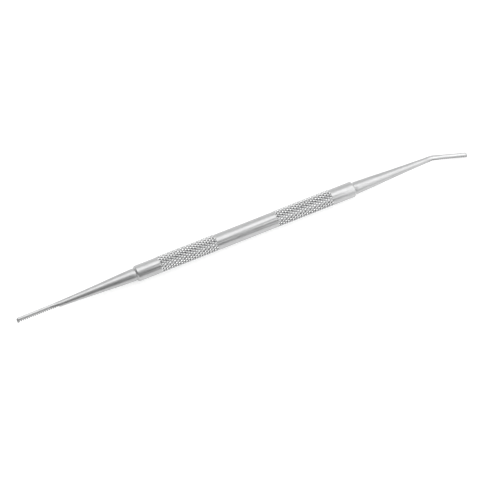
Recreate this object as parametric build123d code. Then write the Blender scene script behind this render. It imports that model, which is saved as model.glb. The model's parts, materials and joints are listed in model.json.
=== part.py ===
from build123d import *
import math
import os

# A double-ended hand file in stainless steel, in millimetres. A round handle with two knurled bands
# holds a straight file in one end and an angled file in the other, each by a tang in a blind bore.
#
# Frame: the origin is on the handle's axis at the middle of its length. +X runs along the axis towards
# the angled file. +Z is up, with the tool lying on a table: both knurled bands and the nose of the
# angled file touch the table, so the bend slopes down to the -Y side.

# Handle, turned from one bar: collar, knurled band, plain centre band, knurled band, collar.
PLAIN_DIAMETER = 5.5
KNURL_DIAMETER = 5.9
COLLAR = 8.5
KNURLED_BAND = 20.75
CENTRE_BAND = 21.9
MOUTH_CHAMFER = 0.45

# Blind bores for the tangs, with the cone that an ordinary drill leaves.
BORE_DIAMETER = 3.0
BORE_DEPTH = 14.0
BORE_LEAD_IN = 0.2
DRILL_POINT_ANGLE = 118.0

# Tangs: a bonded slip fit, with a groove that keys the adhesive and a lead-in chamfer.
TANG_LENGTH = 12.5
BOND_GAP = 0.02
TANG_CHAMFER = 0.3
TANG_GROOVE_AT = 6.0
TANG_GROOVE_WIDTH = 1.0
TANG_GROOVE_DEPTH = 0.15

# Neck groove where each shank leaves the handle.
NECK_DIAMETER = 4.24
NECK_WIDTH = 0.55
NECK_CHAMFER = 0.07

# Tapered shank: distance from the handle's end, and diameter there.
SHANK_TAPER = ((NECK_WIDTH + NECK_CHAMFER, 4.38), (5.9, 3.94), (13.9, 3.08), (21.9, 2.38), (27.5, 1.98))

# Toothed tips: round back, nearly straight flanks and a flat tooth face, all measured from the tip's
# axis. The back comes down a little towards the nose.
TIP_WIDTH = 1.2
TIP_BACK_AT_ROOT = 0.96
TIP_BACK_AT_NOSE = 0.86
FACE_DEPTH = 0.82
FACE_WIDTH = 0.55
NOSE_BACK_RADIUS = 0.70
NOSE_FACE_RADIUS = 0.2
NOSE_SIDE_RADIUS = 0.50
NOSE_LENGTH = 1.2
NOSE_CLEARANCE = 0.01

# The round shank runs out into the sides of the tip as a cone of this length.
RUN_OUT = 3.0

# Teeth: round-rooted grooves straight across the face.
TOOTH_PITCH = 0.71
TOOTH_DEPTH = 0.50
TOOTH_HALF_ANGLE = 27.0
TOOTH_ROOT_RADIUS = 0.12
STRAIGHT_TEETH = 20
ANGLED_TEETH = 19
STRAIGHT_NOSE_LAND = 0.7
ANGLED_NOSE_LAND = 0.6

# Reach of each file from the handle's end. The angled file's axis turns at one corner.
STRAIGHT_REACH = 42.3
CORNER_AT = 29.8
BEND_ANGLE = 15.4
BEND_RADIUS = 8.5
ANGLED_TIP = 13.1

CUT_MARGIN = 0.5
HALF_HANDLE = CENTRE_BAND / 2 + KNURLED_BAND + COLLAR
BEND_TANGENT = BEND_RADIUS * math.tan(math.radians(BEND_ANGLE / 2))


def turned(*edges):
    """The solid that an outline in the XZ plane makes when it is turned about X."""
    return Solid.revolve(Face(Wire(edges)), 360, Axis.X)


def path(*points):
    """Straight edges through (x, radius) points in the XZ plane."""
    return Polyline(*[(x, 0, radius) for x, radius in points]).edges()


def bore_tool():
    """What the drill and countersink take out of one end: the mouth is at x = 0 and the hole runs to +X."""
    bore_radius = BORE_DIAMETER / 2
    point_length = bore_radius / math.tan(math.radians(DRILL_POINT_ANGLE / 2))
    outline = path(
        (-CUT_MARGIN, 0),
        (-CUT_MARGIN, bore_radius + BORE_LEAD_IN),
        (0, bore_radius + BORE_LEAD_IN),
        (BORE_LEAD_IN, bore_radius),
        (BORE_DEPTH, bore_radius),
        (BORE_DEPTH + point_length, 0),
        (-CUT_MARGIN, 0),
    )
    return turned(*outline)


def handle():
    """The handle: one bar with its five bands, a chamfer round each mouth and a blind bore in each end."""
    plain, crest = PLAIN_DIAMETER / 2, KNURL_DIAMETER / 2
    step = crest - plain
    knurl_in = CENTRE_BAND / 2
    knurl_out = knurl_in + KNURLED_BAND
    half = [
        (knurl_in, plain),
        (knurl_in + step, crest),
        (knurl_out - step, crest),
        (knurl_out, plain),
        (HALF_HANDLE - MOUTH_CHAMFER, plain),
        (HALF_HANDLE, plain - MOUTH_CHAMFER),
        (HALF_HANDLE, 0),
    ]
    other_half = [(-x, radius) for x, radius in reversed(half)]
    angled_bore = Pos(HALF_HANDLE, 0, 0) * Rot(0, 0, 180) * bore_tool()
    straight_bore = Pos(-HALF_HANDLE, 0, 0) * bore_tool()
    return turned(*path(*other_half, *half, other_half[0])) - angled_bore - straight_bore


def shank(length):
    """Tang, neck and tapered shank of one file, turned about X, with the handle's end face at x = 0."""
    tang = BORE_DIAMETER / 2 - BOND_GAP
    groove = tang - TANG_GROOVE_DEPTH
    neck = NECK_DIAMETER / 2
    root_x, root_diameter = SHANK_TAPER[0]
    end_x, end_diameter = SHANK_TAPER[-1]
    root, end = root_diameter / 2, end_diameter / 2
    back = path(
        (-TANG_LENGTH, 0),
        (-TANG_LENGTH, tang - TANG_CHAMFER),
        (-TANG_LENGTH + TANG_CHAMFER, tang),
        (-TANG_GROOVE_AT - TANG_GROOVE_WIDTH, tang),
        (-TANG_GROOVE_AT - TANG_GROOVE_WIDTH + TANG_GROOVE_DEPTH, groove),
        (-TANG_GROOVE_AT - TANG_GROOVE_DEPTH, groove),
        (-TANG_GROOVE_AT, tang),
        (0, tang),
        (0, neck),
        (NECK_WIDTH, neck),
        (root_x, root),
    )
    taper = Spline(*[(x, 0, diameter / 2) for x, diameter in SHANK_TAPER])
    front = [(end_x, end), (end_x, 0), (-TANG_LENGTH, 0)]
    if length > end_x:
        front = [(end_x, end), (length, end), (length, 0), (-TANG_LENGTH, 0)]
    return turned(*back, taper, *path(*front))


def tip_section(x, back):
    """The tip's outline across its axis at x: a round back, drawn-in flanks and a flat tooth face."""
    side, face = TIP_WIDTH / 2, FACE_WIDTH / 2
    over = ThreePointArc((x, -side, 0), (x, 0, back), (x, side, 0))
    under = Polyline((x, side, 0), (x, face, -FACE_DEPTH), (x, -face, -FACE_DEPTH), (x, -side, 0))
    return Face(Wire([over, *under.edges()]))


def nose_waste(length):
    """What is ground off round the nose: the end of the tip less its rounded side view and top view."""
    height = TIP_BACK_AT_NOSE + FACE_DEPTH + 2 * NOSE_CLEARANCE
    side_view = Rectangle(2 * NOSE_LENGTH, height)
    back_corner = side_view.vertices().group_by(Axis.X)[-1].sort_by(Axis.Y)[-1:]
    side_view = fillet(back_corner, NOSE_BACK_RADIUS)
    face_corner = side_view.vertices().sort_by(Axis.Y)[:2].sort_by(Axis.X)[-1:]
    side_view = fillet(face_corner, NOSE_FACE_RADIUS)
    top_view = Rectangle(2 * NOSE_LENGTH, TIP_WIDTH + 2 * NOSE_CLEARANCE)
    top_view = fillet(top_view.vertices().group_by(Axis.X)[-1], NOSE_SIDE_RADIUS)
    middle = length - NOSE_LENGTH
    across = Pos(middle, 0, (TIP_BACK_AT_NOSE - FACE_DEPTH) / 2) * Rot(90, 0, 0) * side_view
    nose = extrude(across, TIP_WIDTH, both=True) & extrude(Pos(middle, 0, 0) * top_view, TIP_WIDTH, both=True)
    block = Pos(length, 0, 0) * Box(2 * NOSE_LENGTH, 2 * TIP_WIDTH, 2 * TIP_WIDTH)
    return block - nose


def tooth_gap():
    """One gap between teeth, as a bar across the tip at x = 0, open below the tooth face."""
    half_angle = math.radians(TOOTH_HALF_ANGLE)
    root_x = TOOTH_ROOT_RADIUS * math.cos(half_angle)
    root_z = TOOTH_DEPTH - TOOTH_ROOT_RADIUS + TOOTH_ROOT_RADIUS * math.sin(half_angle)
    mouth_x = root_x + (root_z + CUT_MARGIN) * math.tan(half_angle)
    left, right = (-root_x, 0, root_z), (root_x, 0, root_z)
    root = ThreePointArc(left, (0, 0, TOOTH_DEPTH), right)
    sides = Polyline(right, (mouth_x, 0, -CUT_MARGIN), (-mouth_x, 0, -CUT_MARGIN), left)
    section = Face(Wire([root, *sides.edges()]))
    return Pos(0, 0, -FACE_DEPTH) * extrude(section, TIP_WIDTH, both=True)


def face_cut(start, length):
    """What is filed away below the tooth face, from a sloping run-out at start to past the nose."""
    low = -FACE_DEPTH - CUT_MARGIN
    outline = Polyline(
        (start, 0, -FACE_DEPTH),
        (start - CUT_MARGIN, 0, low),
        (length + CUT_MARGIN, 0, low),
        (length + CUT_MARGIN, 0, -FACE_DEPTH),
        close=True,
    )
    return extrude(Face(Wire(outline.edges())), TIP_WIDTH, both=True)


def toothed(blank, place, last_tooth, teeth, length):
    """The blank with its tooth face filed flat and its teeth cut. place is the tip's own frame."""
    first_gap = last_tooth - (teeth - 0.5) * TOOTH_PITCH
    cuts = [place * face_cut(first_gap, length)]
    for gap in range(teeth):
        cuts.append(place * Pos(first_gap + gap * TOOTH_PITCH, 0, 0) * tooth_gap())
    return blank - cuts


def tip_blank(start, length):
    """The untoothed tip along X in its own frame, from the shank's end at start to its rounded nose."""
    root = tip_section(start, TIP_BACK_AT_ROOT)
    nose = tip_section(length, TIP_BACK_AT_NOSE)
    run_out = Rot(0, 90, 0) * Cone(SHANK_TAPER[-1][1] / 2, TIP_WIDTH / 2, RUN_OUT)
    return loft([root, nose], ruled=True) + Pos(start + RUN_OUT / 2, 0, 0) * run_out - nose_waste(length)


def straight_file():
    """Tang, shank and straight tip along X, with the tooth face down."""
    start = SHANK_TAPER[-1][0]
    blank = shank(start) + tip_blank(start, STRAIGHT_REACH)
    last_tooth = STRAIGHT_REACH - STRAIGHT_NOSE_LAND
    return toothed(blank, Pos(0, 0, 0), last_tooth, STRAIGHT_TEETH, STRAIGHT_REACH)


def angled_file():
    """Tang, shank, elbow and angled tip, bending towards -Z, with the tooth face on the inside."""
    elbow_at = CORNER_AT - BEND_TANGENT
    elbow_face = Plane(origin=(elbow_at, 0, 0), z_dir=(1, 0, 0)) * Circle(SHANK_TAPER[-1][1] / 2)
    elbow = revolve(elbow_face, Axis((elbow_at, 0, -BEND_RADIUS), (0, 1, 0)), BEND_ANGLE)
    tip_frame = Pos(CORNER_AT, 0, 0) * Rot(0, BEND_ANGLE, 0)
    blank = shank(elbow_at) + elbow + tip_frame * tip_blank(BEND_TANGENT, ANGLED_TIP)
    last_tooth = ANGLED_TIP - ANGLED_NOSE_LAND
    return toothed(blank, tip_frame, last_tooth, ANGLED_TEETH, ANGLED_TIP)


def roll_angle():
    """Degrees below the horizontal, to the -Y side, of the bend and the tooth faces as the tool lies.

    The tool rolls until the corner between the tooth face, the flank and the nose meets the table.
    """
    bend = math.radians(BEND_ANGLE)
    along = (ANGLED_TIP - NOSE_FACE_RADIUS) * math.sin(bend)
    across = (FACE_DEPTH - NOSE_FACE_RADIUS) * math.cos(bend)
    reach = along + across + NOSE_FACE_RADIUS
    corner = FACE_WIDTH / 2
    lean = math.asin(KNURL_DIAMETER / 2 / math.hypot(reach, corner))
    return math.degrees(lean - math.atan2(corner, reach))


def main():
    """Place the three pieces and write one file for each.

    The handle is turned so that the seam of its round faces is the line it rests on.
    """
    os.makedirs("parts", exist_ok=True)
    seam_on_table = Rot(180, 0, 0)
    roll = Rot(roll_angle() - 90, 0, 0)
    straight_place = roll * Pos(-HALF_HANDLE, 0, 0) * Rot(0, 0, 180)
    angled_place = roll * Pos(HALF_HANDLE, 0, 0)
    export_step(seam_on_table * handle(), "parts/handle.step")
    export_step(straight_place * straight_file(), "parts/straight_file.step")
    export_step(angled_place * angled_file(), "parts/angled_file.step")


if __name__ == "__main__":
    main()
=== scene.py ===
import json
import math

import bpy
import numpy as np
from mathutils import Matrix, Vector


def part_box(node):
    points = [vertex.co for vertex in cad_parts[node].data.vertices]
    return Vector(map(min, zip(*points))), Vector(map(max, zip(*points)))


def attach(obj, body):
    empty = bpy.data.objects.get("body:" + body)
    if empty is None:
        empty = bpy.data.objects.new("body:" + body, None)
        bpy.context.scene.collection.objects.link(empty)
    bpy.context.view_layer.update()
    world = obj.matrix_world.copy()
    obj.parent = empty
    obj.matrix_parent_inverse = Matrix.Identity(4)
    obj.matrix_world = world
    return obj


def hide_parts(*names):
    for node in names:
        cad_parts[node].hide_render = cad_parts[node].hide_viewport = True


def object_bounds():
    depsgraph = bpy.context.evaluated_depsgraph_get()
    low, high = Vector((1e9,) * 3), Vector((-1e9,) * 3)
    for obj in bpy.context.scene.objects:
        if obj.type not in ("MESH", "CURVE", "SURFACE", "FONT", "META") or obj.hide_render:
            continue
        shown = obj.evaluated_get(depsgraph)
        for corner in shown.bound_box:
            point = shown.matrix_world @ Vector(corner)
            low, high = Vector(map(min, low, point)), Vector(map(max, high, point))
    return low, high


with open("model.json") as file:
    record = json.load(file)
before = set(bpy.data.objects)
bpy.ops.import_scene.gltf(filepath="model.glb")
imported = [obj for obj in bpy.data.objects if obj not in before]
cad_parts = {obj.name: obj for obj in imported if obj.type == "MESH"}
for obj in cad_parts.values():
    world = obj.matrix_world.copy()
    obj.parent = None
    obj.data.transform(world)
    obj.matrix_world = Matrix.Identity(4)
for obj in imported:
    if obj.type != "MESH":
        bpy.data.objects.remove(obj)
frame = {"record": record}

CAD_BOX = [list(corner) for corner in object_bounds()]
MM = 0.001

# ---------------------------------------------------------------- sizes, in millimetres
mounts = {m["name"]: m for m in frame["record"]["mounts"]}
_, handle_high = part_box("handle")
straight_low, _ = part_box("straight_file")
angled_low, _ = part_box("angled_file")

HALF_HANDLE = handle_high.x / MM
CREST_R = handle_high.z / MM
PLAIN_R = mounts["grip_centre"]["dims"]["r_mm"]
KNURL_IN = mounts["grip_centre"]["dims"]["length_mm"] / 2
MOUTH_CHAMFER = 0.45
COLLAR = mounts["straight_end_collar"]["dims"]["length_mm"] + MOUTH_CHAMFER
KNURL_OUT = HALF_HANDLE - COLLAR

KNURL_STARTS = 18
KNURL_PITCH = 1.75
KNURL_DEPTH = 0.33
KNURL_STEPS = 12
KNURL_RUNOUT = 0.2

BORE_R = 1.5
BORE_DEPTH = 14.0
BORE_POINT = 0.9
BORE_LEAD_IN = 0.2
TANG_R = 1.48
TANG_LENGTH = HALF_HANDLE - angled_low.x / MM
TANG_END_R = 0.9
TANG_CHAMFER = 0.3
TANG_GROOVE_AT = 6.0
TANG_GROOVE_WIDTH = 1.0
TANG_GROOVE_DEPTH = 0.15

NECK_R = 2.12
NECK_WIDTH = 0.3
ROOT_AT = 0.9
SHANK_TAPER = ((0.62, 2.19), (5.9, 1.97), (13.9, 1.54), (21.9, 1.19), (27.5, 0.99))

STRAIGHT_REACH = -straight_low.x / MM - HALF_HANDLE
BEND_ANGLE = math.radians(15.4)
BEND_RADIUS = 8.5
CORNER_AT = 29.8
ANGLED_TIP = 13.1
ROLL = math.radians(40.46)

TIP_SIDE = 0.6
RUN_OUT = 3.0
FACE_DEPTH = 0.82
FACE_HALF = 0.275
FACE_EDGE = 0.03
TOOTH_PITCH = 0.71
TOOTH_DEPTH = 0.50
TOOTH_SLOPE = math.tan(math.radians(27))
TOOTH_ROOT_R = 0.12
STRAIGHT_TEETH = 20
ANGLED_TEETH = 19
STRAIGHT_NOSE_LAND = 0.7
ANGLED_NOSE_LAND = 0.6
NOSE_BACK_R, NOSE_FACE_R, NOSE_SIDE_R = 0.7, 0.2, 0.5

# Half-height of each tip's back, against the distance from its nose.
STRAIGHT_BACK = ((0, 0.86), (4, 0.87), (9, 0.91), (15, 0.96))
ANGLED_BACK = ((0, 0.88), (2.5, 0.84), (7, 0.87), (14, 0.96))

# Mesh points on each part of a tip's section.
BACK_POINTS, FLANK_POINTS, FACE_POINTS = 36, 12, 8


# ---------------------------------------------------------------- mesh helpers
def smooth_curve(points, x):
    """A smooth curve through (x, value) points, straight on past its ends."""
    px = np.array([p[0] for p in points], float)
    py = np.array([p[1] for p in points], float)
    slope = np.gradient(py, px)
    i = np.clip(np.searchsorted(px, x) - 1, 0, len(px) - 2)
    gap = px[i + 1] - px[i]
    t = np.clip((x - px[i]) / gap, 0, 1)
    rise = (2 * t**3 - 3 * t**2 + 1) * py[i] + (3 * t**2 - 2 * t**3) * py[i + 1]
    lean = (t**3 - 2 * t**2 + t) * slope[i] + (t**3 - t**2) * slope[i + 1]
    return float(rise + gap * lean)


def ease(t):
    """0 to 1 with a soft start and end."""
    t = np.clip(t, 0, 1)
    return t * t * (3 - 2 * t)


def skin(name, rings, first, last, flip=None):
    """A closed mesh over rings of points, with a pole at each end.

    flip is 0 where a quad stays whole, and otherwise says which of its diagonals splits it.
    """
    rings = np.asarray(rings, float)
    count, around = rings.shape[:2]
    points = np.vstack([rings.reshape(-1, 3), first, last]) * MM
    faces = []
    for j in range(count - 1):
        for i in range(around):
            k = (i + 1) % around
            a, b = j * around + i, j * around + k
            c, d = (j + 1) * around + k, (j + 1) * around + i
            if flip is None or flip[j, i] == 0:
                faces.append((a, b, c, d))
            elif flip[j, i] == 1:
                faces += [(a, b, c), (a, c, d)]
            else:
                faces += [(a, b, d), (b, c, d)]
    start, end = count * around, count * around + 1
    for i in range(around):
        k = (i + 1) % around
        faces.append((start, k, i))
        faces.append((end, (count - 1) * around + i, (count - 1) * around + k))
    mesh = bpy.data.meshes.new(name)
    mesh.from_pydata(points.tolist(), [], faces)
    mesh.validate()
    mesh.shade_smooth()
    piece = bpy.data.objects.new(name, mesh)
    bpy.context.scene.collection.objects.link(piece)
    return piece


def finish_mesh(piece, angle, material):
    """Outward normals, creases where faces meet sharply, and one material."""
    mesh = piece.data
    volume = sum(
        mesh.vertices[p.vertices[0]].co.dot(p.normal) * p.area for p in mesh.polygons
    )
    if volume < 0:
        mesh.flip_normals()
    mesh.set_sharp_from_angle(angle=math.radians(angle))
    mesh.materials.append(material)


# ---------------------------------------------------------------- handle
def rounded(points, radius, steps=4):
    """The (x, r) outline with its inner corners rounded."""
    out = [points[0]]
    for before, corner, after in zip(points, points[1:], points[2:]):
        b, c, a = (np.array(p, float) for p in (before, corner, after))
        back, on = b - c, a - c
        reach = min(radius, 0.45 * np.linalg.norm(back), 0.45 * np.linalg.norm(on))
        start = c + back / np.linalg.norm(back) * reach
        end = c + on / np.linalg.norm(on) * reach
        for k in range(steps + 1):
            t = k / steps
            out.append(tuple((1 - t) ** 2 * start + 2 * t * (1 - t) * c + t * t * end))
    out.append(points[-1])
    return out


def knurl_height(column, row):
    """Height of the diamond knurl over its groove bottoms, 0 to 1, at a grid point."""
    steps = KNURL_STEPS
    one = (column + row) % steps / steps
    two = (column - row) % steps / steps
    ridge = 1 - np.abs(2 * one - 1)
    cross = 1 - np.abs(2 * two - 1)
    sharp = np.minimum(ridge, cross)
    return np.minimum(sharp * 1.12, 1.0)


def knurled_rings(start, end):
    """Rings of the knurled band and how its quads split, so that every crease lies on an edge."""
    around = KNURL_STARTS * KNURL_STEPS
    step = KNURL_PITCH / KNURL_STEPS
    rows = int((end - start) / step)
    margin = (end - start - rows * step) / 2
    columns = np.arange(around)
    angle = 2 * math.pi * columns / around
    rings, flips = [], []
    for row in range(rows + 1):
        x = start + margin + row * step
        inside = min(x - start, end - x)
        radius = CREST_R - KNURL_DEPTH * (1 - knurl_height(columns, row))
        radius = PLAIN_R + (radius - PLAIN_R) * ease(inside / KNURL_RUNOUT)
        rings.append(np.stack([np.full(around, x), radius * np.cos(angle), radius * np.sin(angle)], 1))
        half = KNURL_STEPS // 2
        split = np.where((columns - row) % half == 0, 1, 2)
        flips.append(split)
    return rings, flips


def round_ring(x, radius, around):
    """A circle of points about the X axis."""
    angle = 2 * math.pi * np.arange(around) / around
    return np.stack([np.full(around, x), radius * np.cos(angle), radius * np.sin(angle)], 1)


def make_handle():
    """The handle's skin: one bore, round the outside through both knurled bands, and the other bore."""
    around = KNURL_STARTS * KNURL_STEPS
    end = rounded(
        [
            (KNURL_OUT, PLAIN_R),
            (HALF_HANDLE - MOUTH_CHAMFER, PLAIN_R),
            (HALF_HANDLE, PLAIN_R - MOUTH_CHAMFER),
            (HALF_HANDLE, BORE_R + BORE_LEAD_IN),
            (HALF_HANDLE - BORE_LEAD_IN, BORE_R),
            (HALF_HANDLE - BORE_DEPTH, BORE_R),
            (HALF_HANDLE - BORE_DEPTH - BORE_POINT, 0.02),
        ],
        0.06,
    )
    rings, flips = [], []
    for x, radius in reversed(end):
        rings.append(round_ring(-x, radius, around))
        flips.append(np.zeros(around, int))
    band, split = knurled_rings(-KNURL_OUT, -KNURL_IN)
    rings += band
    flips += split
    for x in (-KNURL_IN, KNURL_IN):
        rings.append(round_ring(x, PLAIN_R, around))
        flips.append(np.zeros(around, int))
    band, split = knurled_rings(KNURL_IN, KNURL_OUT)
    rings += band
    flips += split
    for x, radius in end:
        rings.append(round_ring(x, radius, around))
        flips.append(np.zeros(around, int))
    pole = HALF_HANDLE - BORE_DEPTH - BORE_POINT
    return skin("handle_body", rings, [(-pole, 0, 0)], [(pole, 0, 0)], np.array(flips))


# ---------------------------------------------------------------- files
def gap_depth(x, gaps):
    """How deep the nearest tooth gap is at x along the tip."""
    if not gaps:
        return 0.0
    away = min(abs(x - g) for g in gaps)
    root_centre = TOOTH_DEPTH - TOOTH_ROOT_R
    touch = TOOTH_ROOT_R * math.cos(math.atan(TOOTH_SLOPE))
    if away < touch:
        return root_centre + math.sqrt(TOOTH_ROOT_R**2 - away**2)
    wall = root_centre + TOOTH_ROOT_R * math.sin(math.atan(TOOTH_SLOPE)) - (away - touch) / TOOTH_SLOPE
    return max(wall, 0.0)


def gap_stations():
    """Places across one tooth pitch, measured from the middle of the gap, where rings are needed."""
    touch = TOOTH_ROOT_R * math.cos(math.atan(TOOTH_SLOPE))
    mouth = touch + (TOOTH_DEPTH - TOOTH_ROOT_R / 2) * TOOTH_SLOPE
    half = [0, 0.35 * touch, 0.7 * touch, touch, (touch + mouth) / 2, mouth - 0.015, mouth, mouth + 0.02]
    return sorted({-x for x in half} | set(half))


def circle_points(radius):
    """The shank's section (across, up), with points where the toothed section has them."""
    corner = math.atan2(FACE_DEPTH, FACE_HALF)
    back = np.linspace(0, math.pi, BACK_POINTS, endpoint=False)
    flank_1 = np.linspace(math.pi, math.pi + corner, FLANK_POINTS, endpoint=False)
    face = np.linspace(math.pi + corner, 2 * math.pi - corner, FACE_POINTS, endpoint=False)
    flank_2 = np.linspace(2 * math.pi - corner, 2 * math.pi, FLANK_POINTS, endpoint=False)[:-1]
    angle = np.concatenate([back, flank_1, face, flank_2])
    return np.stack([radius * np.cos(angle), radius * np.sin(angle)], 1)


def tip_points(back):
    """The toothless section of the tip (across, up): a round back, drawn-in flanks and a flat face."""
    angle = np.linspace(0, math.pi, BACK_POINTS, endpoint=False)
    over = np.stack([TIP_SIDE * np.cos(angle), back * np.sin(angle)], 1)
    narrowing = (TIP_SIDE - FACE_HALF) / FACE_DEPTH
    down = np.linspace(0, 1, FLANK_POINTS) * (FACE_DEPTH - FACE_EDGE)
    flank = np.stack([-(TIP_SIDE - narrowing * down), -down], 1)
    across = np.linspace(FACE_EDGE - FACE_HALF, FACE_HALF - FACE_EDGE, FACE_POINTS)
    face = np.stack([across, np.full(FACE_POINTS, -FACE_DEPTH)], 1)
    up = flank[::-1] * (-1, 1)
    return np.concatenate([over, flank, face, up])[:-1]


def file_rings(reach, corner, teeth, nose_land, tip_end, back_curve):
    """Rings along one file, from its tang to its nose, and its two poles, in the file's own frame.

    The handle's end face is at x = 0 and the teeth face -z. corner is where the axis turns, or None.
    """
    tangent = BEND_RADIUS * math.tan(BEND_ANGLE / 2) if corner else 0
    arc = BEND_RADIUS * BEND_ANGLE if corner else 0
    bend_start = corner - tangent if corner else reach
    length = bend_start + arc + tip_end - tangent if corner else reach

    def place(s):
        """Centre of the section at s along the axis, and how far the axis has turned there."""
        if s <= bend_start:
            return np.array([s, 0.0]), 0.0
        turned = min((s - bend_start) / BEND_RADIUS, BEND_ANGLE) if corner else 0.0
        on = s - bend_start - turned * BEND_RADIUS
        x = bend_start + BEND_RADIUS * math.sin(turned) + on * math.cos(turned)
        z = -BEND_RADIUS * (1 - math.cos(turned)) - on * math.sin(turned)
        return np.array([x, z]), turned

    tip_from = SHANK_TAPER[-1][0]
    last_tooth = length - nose_land
    gaps = [last_tooth - (k + 0.5) * TOOTH_PITCH for k in range(teeth)]
    face_from = gaps[-1]
    slim_from = bend_start + arc if corner else tip_from
    stations = set(np.linspace(ROOT_AT, tip_from, 60)) | set(np.linspace(tip_from, face_from - 0.36, 8))
    for gap in gaps:
        stations |= {gap + x for x in gap_stations()}
    nose = [nose_land * 0.9 * (1 - math.cos(t)) for t in np.linspace(0, math.pi / 2, 12)][1:]
    stations |= {length - t for t in nose}
    stations = sorted(s for s in stations if s <= length - 0.004)
    rings = []
    for s in stations:
        centre, turned = place(s)
        shank = circle_points(smooth_curve(SHANK_TAPER, min(s, tip_from)))
        back = smooth_curve(back_curve, length - s)
        slim = float(np.clip((s - slim_from) / RUN_OUT, 0, 1))
        section = shank * (1 - slim) + tip_points(back) * slim
        filed = FACE_DEPTH - gap_depth(s, gaps) + max(face_from - s, 0)
        section[:, 1] = np.maximum(section[:, 1], -filed)
        left = length - s
        top = nose_round(back, NOSE_BACK_R, left)
        low = nose_round(FACE_DEPTH, NOSE_FACE_R, left)
        side = nose_round(TIP_SIDE, NOSE_SIDE_R, left)
        if left < NOSE_BACK_R:
            above = section[:, 1] > 0
            section[above] *= (side / TIP_SIDE, top / back)
            section[~above] = np.clip(section[~above], (-side, -low), (side, 0))
        x = centre[0] + section[:, 1] * math.sin(turned)
        z = centre[1] + section[:, 1] * math.cos(turned)
        rings.append(np.stack([x, section[:, 0], z], 1))
    groove_r = TANG_R - TANG_GROOVE_DEPTH
    groove_from = -TANG_GROOVE_AT - TANG_GROOVE_WIDTH
    tang = rounded(
        [
            (-TANG_LENGTH, TANG_END_R),
            (-TANG_LENGTH, TANG_R - TANG_CHAMFER),
            (-TANG_LENGTH + TANG_CHAMFER, TANG_R),
            (groove_from, TANG_R),
            (groove_from + TANG_GROOVE_DEPTH, groove_r),
            (-TANG_GROOVE_AT - TANG_GROOVE_DEPTH, groove_r),
            (-TANG_GROOVE_AT, TANG_R),
            (0.0, TANG_R),
            (0.0, NECK_R),
            (NECK_WIDTH, NECK_R),
        ],
        0.05,
    )
    shaft = []
    for x, radius in tang:
        points = circle_points(radius)
        shaft.append(np.stack([np.full(len(points), x), points[:, 0], points[:, 1]], 1))
    end_centre, turned = place(length)
    middle = (nose_round(back_curve[0][1], NOSE_BACK_R, 0) - nose_round(FACE_DEPTH, NOSE_FACE_R, 0)) / 2
    end = (end_centre[0] + middle * math.sin(turned), 0, end_centre[1] + middle * math.cos(turned))
    return shaft + rings, [(-TANG_LENGTH, 0, 0)], [end]


def nose_round(full, radius, left):
    """A half-height or half-width that comes in by a radius over the last stretch before the nose."""
    if left >= radius:
        return full
    return full - radius + math.sqrt(max(radius**2 - (radius - left) ** 2, 0))


def to_world(points, mirrored):
    """File frame to row frame: end for end if mirrored, rolled as the tool lies, and moved out."""
    p = np.asarray(points, float)
    if mirrored:
        p = p * (-1, -1, 1)
    lean = ROLL - math.pi / 2
    y = p[..., 1] * math.cos(lean) - p[..., 2] * math.sin(lean)
    z = p[..., 1] * math.sin(lean) + p[..., 2] * math.cos(lean)
    x = p[..., 0] + (-HALF_HANDLE if mirrored else HALF_HANDLE)
    return np.stack([x, y, z], -1)


def make_straight_file():
    rings, first, last = file_rings(
        STRAIGHT_REACH, None, STRAIGHT_TEETH, STRAIGHT_NOSE_LAND, 0, STRAIGHT_BACK
    )
    placed = [to_world(points, True) for points in (rings, first, last)]
    return skin("straight_file_body", *placed)


def make_angled_file():
    rings, first, last = file_rings(
        0, CORNER_AT, ANGLED_TEETH, ANGLED_NOSE_LAND, ANGLED_TIP, ANGLED_BACK
    )
    placed = [to_world(points, False) for points in (rings, first, last)]
    return skin("angled_file_body", *placed)


# ---------------------------------------------------------------- materials
def remap(tree, source, low, high, to_low, to_high):
    """A value taken from one range to another, with soft ends."""
    made = tree.nodes.new("ShaderNodeMapRange")
    made.interpolation_type = "SMOOTHSTEP"
    for name, number in zip(("From Min", "From Max", "To Min", "To Max"), (low, high, to_low, to_high)):
        made.inputs[name].default_value = number
    tree.links.new(source, made.inputs["Value"])
    return made.outputs[0]


def product(tree, one, two):
    made = tree.nodes.new("ShaderNodeMath")
    made.operation = "MULTIPLY"
    tree.links.new(one, made.inputs[0])
    tree.links.new(two, made.inputs[1])
    return made.outputs[0]


def noise(tree, source, scale, detail):
    """Noise in the object's own coordinates, stretched by its scale along each axis."""
    stretch = tree.nodes.new("ShaderNodeMapping")
    stretch.inputs["Scale"].default_value = scale
    tree.links.new(source, stretch.inputs["Vector"])
    made = tree.nodes.new("ShaderNodeTexNoise")
    made.inputs["Scale"].default_value = 1.0
    made.inputs["Detail"].default_value = detail
    made.inputs["Roughness"].default_value = 0.6
    tree.links.new(stretch.outputs[0], made.inputs["Vector"])
    return made.outputs["Fac"]


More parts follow.
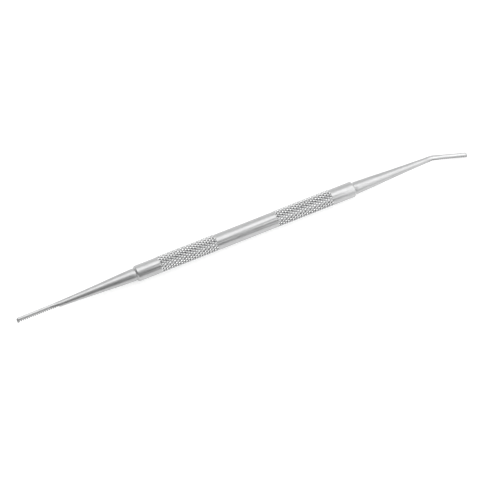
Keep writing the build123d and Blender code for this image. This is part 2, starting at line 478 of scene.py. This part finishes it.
def painted_tip_shade_and_highlight(tree, where):
    """Painted light: 1 on the shanks, a painted highlight a little above 1 on the backs of the tips, and
    painted shade, much less, on their teeth.
    """
    down = tree.nodes.new("ShaderNodeVectorMath")
    down.operation = "DOT_PRODUCT"
    down.inputs[1].default_value = (0, -math.cos(ROLL), -math.sin(ROLL))
    tree.links.new(where, down.inputs[0])
    split = tree.nodes.new("ShaderNodeSeparateXYZ")
    tree.links.new(where, split.inputs[0])
    past_bend = tree.nodes.new("ShaderNodeMath")
    past_bend.operation = "SUBTRACT"
    past_bend.use_clamp = True
    past_bend.inputs[1].default_value = (HALF_HANDLE + CORNER_AT) * MM
    tree.links.new(split.outputs["X"], past_bend.inputs[0])
    sink = tree.nodes.new("ShaderNodeMath")
    sink.operation = "MULTIPLY_ADD"
    sink.inputs[1].default_value = -math.tan(BEND_ANGLE)
    tree.links.new(past_bend.outputs[0], sink.inputs[0])
    tree.links.new(down.outputs["Value"], sink.inputs[2])
    along = tree.nodes.new("ShaderNodeMath")
    along.operation = "ABSOLUTE"
    tree.links.new(split.outputs["X"], along.inputs[0])
    tip_from = HALF_HANDLE + SHANK_TAPER[-1][0]
    tip_to = HALF_HANDLE + STRAIGHT_REACH - 0.6
    on_tip = remap(tree, along.outputs[0], (tip_from + 0.5) * MM, (tip_from + 1.7) * MM, 0, 1)
    before_nose = remap(tree, along.outputs[0], (tip_to - 0.3) * MM, tip_to * MM, 1, 0)
    on_tip = product(tree, on_tip, before_nose)
    # Painted shade on the teeth and a painted highlight on the backs of the tips, set by depth within
    # the tip's section.
    low = remap(tree, sink.outputs[0], 0.25 * MM, 0.45 * MM, 1.15, 0.42)
    mixed = tree.nodes.new("ShaderNodeMix")
    mixed.inputs["A"].default_value = 1.0
    tree.links.new(on_tip, mixed.inputs["Factor"])
    tree.links.new(low, mixed.inputs["B"])
    return mixed.outputs["Result"]


def steel(name, tone, roughness, knurled):
    """Satin stainless steel with fine lines round the X axis.

    A knurled piece has smoother crests in its two bands, with a painted highlight on the crests and
    painted shade in the groove bottoms. The others have painted shade on their teeth and a painted
    highlight on the backs of their tips.
    """
    material = bpy.data.materials.new(name)
    material.use_nodes = True
    tree = material.node_tree
    link = tree.links.new
    shader = tree.nodes["Principled BSDF"]
    shader.inputs["Metallic"].default_value = 1.0
    shader.inputs["Anisotropic"].default_value = 0.4
    tangent = tree.nodes.new("ShaderNodeTangent")
    tangent.direction_type = "RADIAL"
    tangent.axis = "X"
    link(tangent.outputs[0], shader.inputs["Tangent"])
    where = tree.nodes.new("ShaderNodeTexCoord").outputs["Object"]
    lines = noise(tree, where, (9000, 120, 120), 3.0)
    mottle = noise(tree, where, (260, 900, 900), 4.0)
    mottle_and_painted_light = remap(tree, mottle, 0.3, 0.7, 0.94, 1.04)
    rough = remap(tree, lines, 0.25, 0.75, roughness - 0.05, roughness + 0.07)
    if knurled:
        split = tree.nodes.new("ShaderNodeSeparateXYZ")
        link(where, split.inputs[0])
        flat = tree.nodes.new("ShaderNodeCombineXYZ")
        link(split.outputs["Y"], flat.inputs["Y"])
        link(split.outputs["Z"], flat.inputs["Z"])
        radius = tree.nodes.new("ShaderNodeVectorMath")
        radius.operation = "LENGTH"
        link(flat.outputs[0], radius.inputs[0])
        along = tree.nodes.new("ShaderNodeMath")
        along.operation = "ABSOLUTE"
        link(split.outputs["X"], along.inputs[0])
        start = remap(tree, along.outputs[0], (KNURL_IN - 0.05) * MM, (KNURL_IN + 0.1) * MM, 0, 1)
        stop = remap(tree, along.outputs[0], (KNURL_OUT - 0.1) * MM, (KNURL_OUT + 0.05) * MM, 1, 0)
        band = product(tree, start, stop)
        groove_r = (CREST_R - KNURL_DEPTH) * MM
        # Painted shade darkens the groove bottoms and a painted highlight brightens the crests, set by
        # distance from the axis.
        painted_knurl_shade_and_highlight = remap(tree, radius.outputs["Value"], groove_r, CREST_R * MM, 0.93, 1.5)
        mixed = tree.nodes.new("ShaderNodeMix")
        mixed.inputs["A"].default_value = 1.0
        link(band, mixed.inputs["Factor"])
        link(painted_knurl_shade_and_highlight, mixed.inputs["B"])
        mottle_and_painted_light = product(tree, mottle_and_painted_light, mixed.outputs["Result"])
        rough = product(tree, rough, remap(tree, band, 0, 1, 1.0, 0.55))
    else:
        # The files take painted shade on their teeth and a painted highlight on the backs of their tips.
        mottle_and_painted_light = product(tree, mottle_and_painted_light, painted_tip_shade_and_highlight(tree, where))
    colour = tree.nodes.new("ShaderNodeVectorMath")
    colour.operation = "SCALE"
    colour.inputs[0].default_value = tone
    link(mottle_and_painted_light, colour.inputs["Scale"])
    link(colour.outputs[0], shader.inputs["Base Color"])
    link(rough, shader.inputs["Roughness"])
    bump = tree.nodes.new("ShaderNodeBump")
    bump.inputs["Strength"].default_value = 0.25
    bump.inputs["Distance"].default_value = 0.000006
    link(lines, bump.inputs["Height"])
    link(bump.outputs[0], shader.inputs["Normal"])
    return material


def floor_material():
    """A matt white that lights itself a little, so that the ground stays pale under the tool."""
    material = bpy.data.materials.new("pale_floor")
    material.use_nodes = True
    shader = material.node_tree.nodes["Principled BSDF"]
    shader.inputs["Base Color"].default_value = (0.62, 0.62, 0.62, 1)
    shader.inputs["Roughness"].default_value = 0.9
    shader.inputs["Specular IOR Level"].default_value = 0.1
    shader.inputs["Emission Color"].default_value = (1, 1, 1, 1)
    shader.inputs["Emission Strength"].default_value = 0.62
    return material


# ---------------------------------------------------------------- studio
CAMERA_ELEVATION = math.radians(60)
CAMERA_TURN = math.radians(24.39)
CAMERA_DISTANCE = 707.0
CAMERA_TARGET = (-2.49, -0.86, -2.95)
CAMERA_LENS = 157.4
TABLE_Z = CAD_BOX[0][2]


def make_camera():
    """A long lens, looking down at the tool from the -Y side and from its left."""
    data = bpy.data.cameras.new("camera")
    data.sensor_width = 36
    data.lens = CAMERA_LENS
    data.clip_start = 0.01
    camera = bpy.data.objects.new("camera", data)
    bpy.context.scene.collection.objects.link(camera)
    level = Vector((math.sin(CAMERA_TURN), math.cos(CAMERA_TURN), 0))
    sight = level * math.cos(CAMERA_ELEVATION) - Vector((0, 0, math.sin(CAMERA_ELEVATION)))
    camera.location = (Vector(CAMERA_TARGET) - sight * CAMERA_DISTANCE) * MM
    camera.rotation_euler = sight.to_track_quat("-Z", "Y").to_euler()
    bpy.context.scene.camera = camera


def make_floor():
    size = 3.0
    mesh = bpy.data.meshes.new("floor")
    corners = [(-size, -size), (size, -size), (size, size), (-size, size)]
    mesh.from_pydata([(x, y, TABLE_Z) for x, y in corners], [], [(0, 1, 2, 3)])
    mesh.materials.append(floor_material())
    floor = bpy.data.objects.new("floor", mesh)
    bpy.context.scene.collection.objects.link(floor)


def softbox(name, place, width, height, brightness):
    """A soft rectangular lamp that faces the origin, out of the camera's sight."""
    data = bpy.data.lights.new(name, "AREA")
    data.shape = "RECTANGLE"
    data.size, data.size_y = width, height
    data.energy = brightness * math.pi * width * height
    lamp = bpy.data.objects.new(name, data)
    bpy.context.scene.collection.objects.link(lamp)
    lamp.location = place
    lamp.rotation_euler = (-Vector(place)).to_track_quat("-Z", "Y").to_euler()
    lamp.visible_camera = False


def make_lights():
    """A pale room, brighter to the right and behind, a wide lamp overhead and small ones in front."""
    world = bpy.data.worlds.new("studio")
    bpy.context.scene.world = world
    world.use_nodes = True
    tree = world.node_tree
    toward = tree.nodes.new("ShaderNodeTexCoord")
    lean = tree.nodes.new("ShaderNodeVectorMath")
    lean.operation = "DOT_PRODUCT"
    lean.inputs[1].default_value = (0.34, 0.38, 0.0)
    tree.links.new(toward.outputs["Generated"], lean.inputs[0])
    level = tree.nodes.new("ShaderNodeMath")
    level.operation = "ADD"
    level.inputs[1].default_value = 0.575
    tree.links.new(lean.outputs["Value"], level.inputs[0])
    tree.links.new(level.outputs[0], tree.nodes["Background"].inputs["Strength"])
    tree.nodes["Background"].inputs["Color"].default_value = (1, 1, 1, 1)
    softbox("overhead", (0.12, 0.14, 0.89), 1.6, 0.6, 1.35)
    softbox("front", (0.23, -0.22, 0.20), 0.38, 0.3, 1.2)
    softbox("side", (0.60, -0.10, 0.13), 0.4, 0.25, 2.2)


view = bpy.context.scene.view_settings
view.view_transform = "Standard"

handle_steel = steel("handle_steel", (0.50, 0.503, 0.505), 0.34, True)
file_steel = steel("file_steel", (0.48, 0.483, 0.485), 0.34, False)

pieces = (
    (make_handle(), "handle", "handle_steel", handle_steel, 25),
    (make_straight_file(), "straight_file", "file_steel", file_steel, 35),
    (make_angled_file(), "angled_file", "file_steel", file_steel, 35),
)
for piece, cad_node, slot, material, crease in pieces:
    finish_mesh(piece, crease, material)
    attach(piece, "root")
    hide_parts(cad_node)

make_camera()
make_floor()
make_lights()
